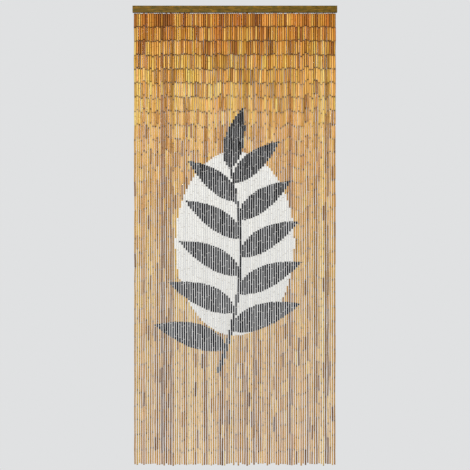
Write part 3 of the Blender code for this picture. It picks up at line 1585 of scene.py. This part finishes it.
    def surface(self, tubes: Tubes, cuts: Array, swell: Array, coats: Array) -> Surface:
        """Works out the tubes as turned profiles.

        A tube's profile is a closed loop: down the outer wall through its cuts, in across the sawn
        rim, up the bore, and out again. Each of its points is carried round the tube's line by the
        angle, as the line's place plus radius times cosine and sine. The line itself bows by
        4 f (1 - f) times the bend, with f the share of the length.

        Args:
            tubes: The tubes.
            cuts: Where the outer wall is cut, as shares of the length.
            swell: The width at each cut as a share of the tube's.
            coats: The coat of each stretch of the outer wall.

        Returns:
            The surface of them all.
        """
        count = len(tubes.radius)
        ends = np.ones((count, 1))
        shares = np.concatenate([0 * ends, cuts, ends, ends, 0 * ends], axis=1)
        outer = np.concatenate([ends, swell, ends], axis=1)
        outer = outer * (1 + self.taper * np.sin(tubes.turn)[:, None] * (1 - 2 * shares[:, :-2]))
        widths = np.concatenate([outer, self.bore * ends, self.bore * ends], axis=1)

        bow_turn = (self.bow_turns * tubes.turn)[:, None]
        bow = self.bend * 4 * shares * (1 - shares)
        line = between(tubes.head[:, None], tubes.foot[:, None], shares[..., None])
        line[..., 0] += bow * np.cos(bow_turn)
        line[..., 1] += bow * np.sin(bow_turn)

        angle = tubes.turn[:, None, None] + np.arange(self.sides) / self.sides * math.tau
        radius = (tubes.radius[:, None] * widths)[..., None]
        at_end = ((shares == 0) | (shares == 1))[..., None]
        slope = self.sawn_slope * np.cos(angle - 2 * bow_turn[..., None]) * at_end
        flat = self.flat * np.cos(self.flat_turns * tubes.turn)[:, None, None]
        points = np.stack(
            [
                line[..., 0:1] + radius * (1 + flat) * np.cos(angle),
                line[..., 1:2] + radius * (1 - flat) * np.sin(angle),
                line[..., 2:3] + radius * slope,
            ],
            axis=-1,
        )

        rings = shares.shape[1]
        each = rings * self.sides
        faces = copies_of(ring_faces(rings, self.sides, closed=True), count, each)
        sawn = np.full((count, rings - coats.shape[1]), Coat.SAWN)
        finish = np.repeat(np.concatenate([coats, sawn], axis=1), self.sides, axis=1)
        burn_and_shade = between(tubes.burn_and_shade[:, :1], tubes.burn_and_shade[:, 1:], shares)
        marks = {name: np.repeat(getattr(tubes, name), each) for name in ("tone", "hue", "pool", "node_at")}
        marks["burn_and_shade"] = np.repeat(burn_and_shade, self.sides, axis=1).ravel()
        marks["along"] = np.repeat(shares, self.sides, axis=1).ravel()
        marks["flank"] = np.broadcast_to(np.cos(angle) ** 2, points.shape[:-1]).ravel()
        sides = np.full(finish.size, 4)
        return Surface(points.reshape(-1, 3), faces.ravel(), sides, finish.ravel(), marks)

    def build(self, finishes: Finishes) -> None:
        """Builds the bare tubes in three bays, then the painted ones.

        Args:
            finishes: The curtain's materials.
        """
        materials = [finishes.bamboo, finishes.white, finishes.charcoal, finishes.sawn]
        tubes = self.lay_out()
        dark = (tubes.coats == Coat.CHARCOAL).any(axis=1)
        pale = (tubes.coats == Coat.WHITE).any(axis=1) & ~dark
        bay = tubes.strand * len(BAYS) // self.plan.strands
        for number, name in enumerate(BAYS):
            bare = tubes.some(~dark & ~pale & (bay == number))
            surface = self.surface(bare, *self.node_cuts(bare))
            made = surface.to_object(f"bare_canes_{name}", materials, self.crease)
            show(made, STRANDS_NODE)
        for name, chosen, cuts, slot in (
            ("white_canes", pale, 2, "white_paint"),
            ("charcoal_canes", dark, 4, "charcoal_paint"),
        ):
            painted = tubes.some(chosen)
            places, coats = self.coat_cuts(painted, cuts)
            surface = self.surface(painted, places, np.ones_like(places), coats)
            show(surface.to_object(name, materials, self.crease), STRANDS_NODE)


@dataclass(frozen=True)
class LinkWires:
    """The wire through each tube, with an eye turned at both ends, and the hooks under the rail.

    Attributes:
        plan: Where the joints are.
        wire: The wire's radius.
        eye: The radius of an eye, to the middle of the wire.
        overlap: How far an eye reaches past the middle of its joint, so that it hooks the next one.
        neck: From an eye to where the wire is straight.
        turns: Where the points of an eye are, in degrees from the side of the neck.
        hook_depth: How far a hook goes up into the stringing strip.
        sides: How many sides the wire has.
        jitter: How far the eyes are turned out of square, in radians.
        crease: The angle past which an edge is shaded sharp.
        seed: What the chances start from.
    """

    plan: StrandPlan
    wire: float = 0.32 * MM
    eye: float = 1.0 * MM
    overlap: float = 0.36 * MM
    neck: float = 0.6 * MM
    turns: tuple[float, ...] = (310.0, 262.0, 214.0, 166.0, 118.0, 70.0, 25.0)
    hook_depth: float = 2.0 * MM
    sides: int = 3
    jitter: float = 0.25
    crease: float = 75.0
    seed: int = 730

    def eye_path(self) -> Array:
        """One eye and its neck, from the wire's tip to where it is straight.

        With a the eye's radius and t the turn, a point is a sin t across and a (1 - cos t) beyond the
        neck's side. Beyond is measured from the middle of the joint, so all of it is moved by the
        overlap less twice the radius.

        Returns:
            A row for each point: across, and beyond the joint's middle.
        """
        turn = np.radians(self.turns)
        across = np.append(self.eye * np.sin(turn), 0.0)
        beyond = np.append(self.eye * (1 - np.cos(turn)), -self.neck)
        return np.stack([across, beyond + self.overlap - 2 * self.eye], axis=1)

    def sweep(self, path: Array, upper: Array, lower: Array, turn: Array) -> Surface:
        """Carries a small ring along a flat path for every wire at once.

        A path point is the lower place plus its second value along the wire's line plus its first
        value across it. The ring's points are that place plus the wire's radius times cosine of the
        angle along the path's own normal, plus sine of it along the normal of the path's plane.

        Args:
            path: (wire, point, across and along) of each path.
            upper: The middle of each wire's upper joint.
            lower: The middle of its lower joint.
            turn: How far its plane is turned about its line.

        Returns:
            The surface of all the wires.
        """
        line = unit(upper - lower)
        level = np.stack([np.cos(turn), np.sin(turn), np.zeros_like(turn)], axis=-1)
        level = unit(level - line * (level * line).sum(-1, keepdims=True))
        upright = np.cross(level, line)[:, None, None]
        level = level[:, None]
        line = line[:, None]

        middle = lower[:, None] + level * path[..., :1] + line * path[..., 1:]
        along = unit(np.gradient(path, axis=1))
        beside = (level * along[..., 1:] - line * along[..., :1])[:, :, None]
        angle = (np.arange(self.sides) / self.sides * math.tau)[:, None]
        points = middle[:, :, None] + self.wire * (np.cos(angle) * beside + np.sin(angle) * upright)

        count, rings = path.shape[:2]
        each = rings * self.sides
        quads = copies_of(ring_faces(rings, self.sides, closed=False), count, each)
        ring = np.arange(self.sides)
        caps = copies_of(np.stack([ring, ring[::-1] + each - self.sides]), count, each)
        corners = np.concatenate([quads.ravel(), caps.ravel()])
        walls = quads.shape[0] * quads.shape[1]
        sides = np.concatenate([np.full(walls, 4), np.full(2 * count, self.sides)])
        return Surface(points.reshape(-1, 3), corners, sides, np.zeros(len(sides)))

    def build(self, finishes: Finishes) -> None:
        """Builds the wires of the tubes in three bays, then the hooks.

        Args:
            finishes: The curtain's materials.
        """
        joints = self.plan.joints()
        shape = (self.plan.strands, self.plan.tubes + 1)
        square = np.arange(shape[1]) * math.pi / 2
        start = even_chance(self.seed, (self.plan.strands, 1)) * math.pi
        turn = start + square + self.jitter * (even_chance(self.seed + 1, shape) - 0.5)

        end = self.eye_path()
        for name, strands in zip(BAYS, np.array_split(np.arange(shape[0]), len(BAYS))):
            upper = joints[strands, :-1].reshape(-1, 3)
            lower = joints[strands, 1:].reshape(-1, 3)
            length = np.linalg.norm(upper - lower, axis=-1)[:, None, None]
            top = end + (0, 1) * length
            bottom = -end[::-1] + (0, 0) * length
            path = np.concatenate([top, bottom], axis=1)
            surface = self.sweep(path, upper, lower, turn[strands, 1:].ravel())
            made = surface.to_object(f"link_wires_{name}", [finishes.wire], self.crease)
            show(made, STRANDS_NODE)

        strip_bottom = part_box(STRANDS_NODE)[1].z - StringingStrip().height
        lower = joints[:, 0]
        upper = lower * (1, 1, 0) + (0, 0, strip_bottom + self.hook_depth)
        length = (upper - lower)[:, 2][:, None, None]
        shank = np.array([[0.0, 1.0]]) * length
        path = np.concatenate([shank, np.broadcast_to(-end[::-1], (len(length), *end.shape))], axis=1)
        surface = self.sweep(path, upper, lower, turn[:, 0])
        show(surface.to_object("top_hooks", [finishes.wire], self.crease), STRANDS_NODE)


@dataclass(frozen=True)
class StringingStrip:
    """The strip in the rail's groove that the hooks go up into.

    Attributes:
        depth: Its size from front to back.
        height: Its size upwards.
        eased: How far its long edges are rounded.
        round_steps: How many points a rounded edge has.
        crease: The angle past which an edge is shaded sharp.
    """

    depth: float = 7.0 * MM
    height: float = 7.0 * MM
    eased: float = 0.8 * MM
    round_steps: int = 4
    crease: float = 40.0

    def build(self, finishes: Finishes) -> None:
        """Builds the strip as one rounded profile carried from end to end of the strands' box.

        Args:
            finishes: The curtain's materials.
        """
        low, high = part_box(STRANDS_NODE)
        middle = (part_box(RAIL_NODE)[0].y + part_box(RAIL_NODE)[1].y) / 2
        outline = rounded_outline(self.depth, self.height, self.eased, self.round_steps)
        outline = outline + (middle, high.z - self.height / 2)
        stations = np.array([low.x, high.x])
        surface = lath(np.broadcast_to(outline, (2, *outline.shape)), stations)
        surface.marks = dict.fromkeys(("edge", "sawn"), np.zeros(len(surface.points)))
        made = surface.to_object("stringing_strip", [finishes.rail], self.crease)
        show(made, STRANDS_NODE)


def rounded_outline(depth: float, height: float, radius: float, steps: int) -> Array:
    """A rectangle with round corners: four quarter circles, each about its own corner's middle.

    Args:
        depth: Its size in Y.
        height: Its size in Z.
        radius: The corners' radius.
        steps: How many points a corner has.

    Returns:
        The points in Y and Z, turning from +Y to +Z, from the middle of the lower edge's right corner.
    """
    start = np.radians([-90.0, 0.0, 90.0, 180.0])[:, None]
    angle = start + np.linspace(0, math.pi / 2, steps)
    corner = np.array([[1, -1], [1, 1], [-1, 1], [-1, -1]]) * (depth / 2 - radius, height / 2 - radius)
    arc = radius * np.stack([np.cos(angle), np.sin(angle)], axis=-1)
    return (corner[:, None] + arc).reshape(-1, 2)


def lath(outlines: Array, stations: Array) -> Surface:
    """Carries a closed outline along X, with a flat cap at both ends.

    Args:
        outlines: (station, point, Y and Z). They turn from +Y to +Z.
        stations: The X of each one, rising.

    Returns:
        The surface.
    """
    count, points = outlines.shape[:2]
    across = np.broadcast_to(stations[:, None, None], (count, points, 1))
    places = np.concatenate([across, outlines], axis=-1).reshape(-1, 3)
    walls = ring_faces(count, points, closed=False)[:, ::-1]
    ring = np.arange(points)
    caps = np.stack([ring[::-1], ring + (count - 1) * points])
    corners = np.concatenate([walls.ravel(), caps.ravel()])
    sides = np.concatenate([np.full(len(walls), 4), np.full(2, points)])
    return Surface(places, corners, sides, np.zeros(len(sides)))


@dataclass(frozen=True)
class RailBatten:
    """The header rail: a planed batten with soft edges, and a groove along its underside.

    Attributes:
        edge: The radius of its long edges.
        end_ease: How far its ends are eased.
        ease_steps: How many cross sections an eased end has.
        round_steps: How many points a rounded edge has.
        seat: The room round the strip in the groove.
        roof: The room above it.
        groove_corner: The length that each end of the groove takes to close.
        stations: How many cross sections the groove has.
        unplaned: How far its faces waver along it.
        waves: The two sine waves that this is the product of, in radians a metre.
        wave_start: Where the second one starts, in radians.
        crease: The angle past which an edge is shaded sharp.
    """

    edge: float = 1.5 * MM
    end_ease: float = 0.9 * MM
    ease_steps: int = 4
    round_steps: int = 6
    seat: float = 0.3 * MM
    roof: float = 0.3 * MM
    groove_corner: float = 0.05 * MM
    stations: int = 46
    unplaned: float = 0.10 * MM
    waves: tuple[float, float] = (23.0, 7.0)
    wave_start: float = 1.0
    crease: float = 40.0

    def outline(self, inset: float, waver: float, grooved: bool) -> Array:
        """One cross section, with the groove's four corners between its last corner and its first.

        Args:
            inset: How far the section is drawn in all round.
            waver: How far its faces are out of true.
            grooved: Whether the groove is open there. Where it isn't, its corners lie on the underside.

        Returns:
            The points in Y and Z.
        """
        low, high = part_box(RAIL_NODE)
        strip = StringingStrip()
        depth = high.y - low.y - 2 * inset - 2 * abs(waver)
        height = high.z - low.z - 2 * inset - 2 * abs(waver)
        middle = ((low.y + high.y) / 2, (low.z + high.z) / 2)
        outer = rounded_outline(depth, height, self.edge, self.round_steps) + middle
        half = strip.depth / 2 + self.seat
        bottom = outer[:, 1].min()
        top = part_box(STRANDS_NODE)[1].z + self.roof if grooved else bottom
        inner = half if grooved else half / 2
        groove = [(-half, bottom), (-inner, top), (inner, top), (half, bottom)]
        return np.concatenate([outer, np.array(groove) + (middle[0], 0.0)])

    def build(self, finishes: Finishes) -> None:
        """Builds the batten.

        Its cross section shrinks over the last bit of each end as a quarter circle. Between the ends
        the faces waver by a product of two sine waves along it.

        Args:
            finishes: The curtain's materials.
        """
        low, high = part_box(RAIL_NODE)
        turn = np.linspace(0, math.pi / 2, self.ease_steps)
        ease_in = low.x + self.end_ease * (1 - np.cos(turn))
        ease_inset = self.end_ease * (1 - np.sin(turn))
        groove_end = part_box(STRANDS_NODE)[1].x + self.seat
        run = np.linspace(-groove_end, groove_end, self.stations)
        run = np.concatenate([[-groove_end - self.groove_corner], run, [groove_end + self.groove_corner]])
        places = np.concatenate([ease_in, run, -ease_in[::-1]])
        insets = np.concatenate([ease_inset, np.zeros(len(run)), ease_inset[::-1]])
        wavers = self.unplaned * np.sin(places * self.waves[0])
        wavers = wavers * np.sin(places * self.waves[1] + self.wave_start)
        grooved = np.abs(places) < groove_end + self.groove_corner / 2
        outlines = np.array([self.outline(*section) for section in zip(insets, wavers, grooved)])
        surface = lath(outlines, places)
        corner_points = 4 * self.round_steps
        groove_points = outlines.shape[1] - corner_points
        edge = np.concatenate([np.ones(corner_points), np.zeros(groove_points)])
        sawn = (places <= ease_in[1]) | (places >= -ease_in[1])
        surface.marks = {
            "edge": np.tile(edge, len(places)),
            "sawn": np.repeat(sawn.astype(float), len(edge)),
        }
        made = surface.to_object("rail_batten", [finishes.rail], self.crease)
        show(made, RAIL_NODE)


# The studio


@dataclass(frozen=True)
class Lamp:
    """One large soft lamp.

    Attributes:
        name: Its name.
        place: Where it stands.
        size: Its width.
        power: Its power in watts.
        tint: Its colour.
    """

    name: str
    place: tuple[float, float, float]
    size: float
    power: float
    tint: tuple[float, float, float] = (1.0, 1.0, 1.0)

    def build(self, target: tuple[float, float, float]) -> None:
        """Sets the lamp up.

        Args:
            target: What it is turned to.
        """
        light = bpy.data.lights.new(self.name, "AREA")
        light.size = self.size
        light.energy = self.power
        light.color = self.tint
        made = add_object(self.name, light)
        made.location = self.place
        aim(made, target)


def aim(made: bpy.types.Object, target: tuple[float, float, float]) -> None:
    """Turns a lamp or a camera so that it looks at a point."""
    way = Vector(target) - made.location
    made.rotation_euler = way.to_track_quat("-Z", "Y").to_euler()


@dataclass(frozen=True)
class Studio:
    """A pale floor, a pale surround, soft lamps, and the camera straight on to the curtain.

    Attributes:
        view_middle: Where the picture's middle is on the curtain, across and up.
        view_height: The height of the curtain's plane that the picture takes in.
        lens: The lens in millimetres.
        sensor: The width of its sensor in millimetres.
        sight: How far the camera sees.
        surround: The colour behind the curtain.
        surround_light: How strongly the surround lights the scene.
        floor_drop: From the hem to the floor.
        floor_reach: Half the floor's width and depth.
        lamps: The lamps.
    """

    view_middle: tuple[float, float] = (0.0006, -0.9933)
    view_height: float = 2.065
    lens: float = 100.0
    sensor: float = 36.0
    sight: float = 60.0
    surround: Colour = colour(224, 225, 226)
    surround_light: float = 0.40
    floor_drop: float = 0.095
    floor_reach: tuple[float, float] = (1.1, 0.44)
    lamps: tuple[Lamp, ...] = (
        Lamp("key", place=(-1.7, -4.2, 0.8), size=1.8, power=170.0, tint=(1.0, 0.985, 0.96)),
        Lamp("fill", place=(2.4, -3.8, -0.6), size=2.2, power=70.0, tint=(0.97, 0.985, 1.0)),
        Lamp("back", place=(1.2, 3.9, 0.7), size=2.2, power=110.0),
    )

    def add_camera(self) -> None:
        """Sets the camera where the picture takes in the right height of the rail's front plane."""
        camera = bpy.data.cameras.new("camera")
        camera.lens = self.lens
        camera.sensor_width = self.sensor
        camera.clip_end = self.sight
        made = add_object("camera", camera)
        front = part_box(RAIL_NODE)[0].y
        away = self.view_height * self.lens / self.sensor
        made.location = (self.view_middle[0], front - away, self.view_middle[1])
        aim(made, (self.view_middle[0], front, self.view_middle[1]))
        bpy.context.scene.camera = made

    def add_surround(self) -> None:
        """Makes the world one pale colour, dimmer as a light than as a backdrop."""
        world = bpy.data.worlds.new("surround")
        world.use_nodes = True
        bpy.context.scene.world = world
        sheet = NodeSheet(world.node_tree)
        seen = sheet.add("ShaderNodeBackground", {"Color": self.surround, "Strength": 1.0})
        lit = sheet.add("ShaderNodeBackground", {"Color": self.surround, "Strength": self.surround_light})
        straight = sheet.add("ShaderNodeLightPath").outputs["Is Camera Ray"]
        inputs = {0: straight, 1: lit.outputs[0], 2: seen.outputs[0]}
        mixed = sheet.add("ShaderNodeMixShader", inputs)
        sheet.add("ShaderNodeOutputWorld", {"Surface": mixed.outputs[0]})

    def add_floor(self) -> None:
        """Lays the floor a little below the hem."""
        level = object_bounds()[0][2] - self.floor_drop
        corners = np.array([[-1, -1], [1, -1], [1, 1], [-1, 1]]) * self.floor_reach
        points = np.concatenate([corners, np.full((4, 1), level)], axis=1)
        surface = Surface(points, np.arange(4), np.array([4]), np.zeros(1))
        surface.to_object("floor", [FloorFinish().make(self.floor_reach)], crease=30.0)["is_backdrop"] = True

    def build(self) -> None:
        """Sets up the whole studio."""
        self.add_camera()
        self.add_surround()
        self.add_floor()
        middle = (0.0, 0.0, self.view_middle[1])
        for lamp in self.lamps:
            lamp.build(middle)
        bpy.context.scene.view_settings.view_transform = "Standard"
        log.info("studio: %d lamps, lens %.0f mm", len(self.lamps), self.lens)


def main() -> None:
    """Builds the curtain piece by piece, then the studio."""
    logging.basicConfig(level=logging.INFO, format="%(message)s")
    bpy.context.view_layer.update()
    finishes = Finishes.make()
    plan = StrandPlan()
    CaneTubes(plan, PaintedDesign()).build(finishes)
    LinkWires(plan).build(finishes)
    StringingStrip().build(finishes)
    RailBatten().build(finishes)
    Studio().build()


if __name__ == "__main__":
    main()
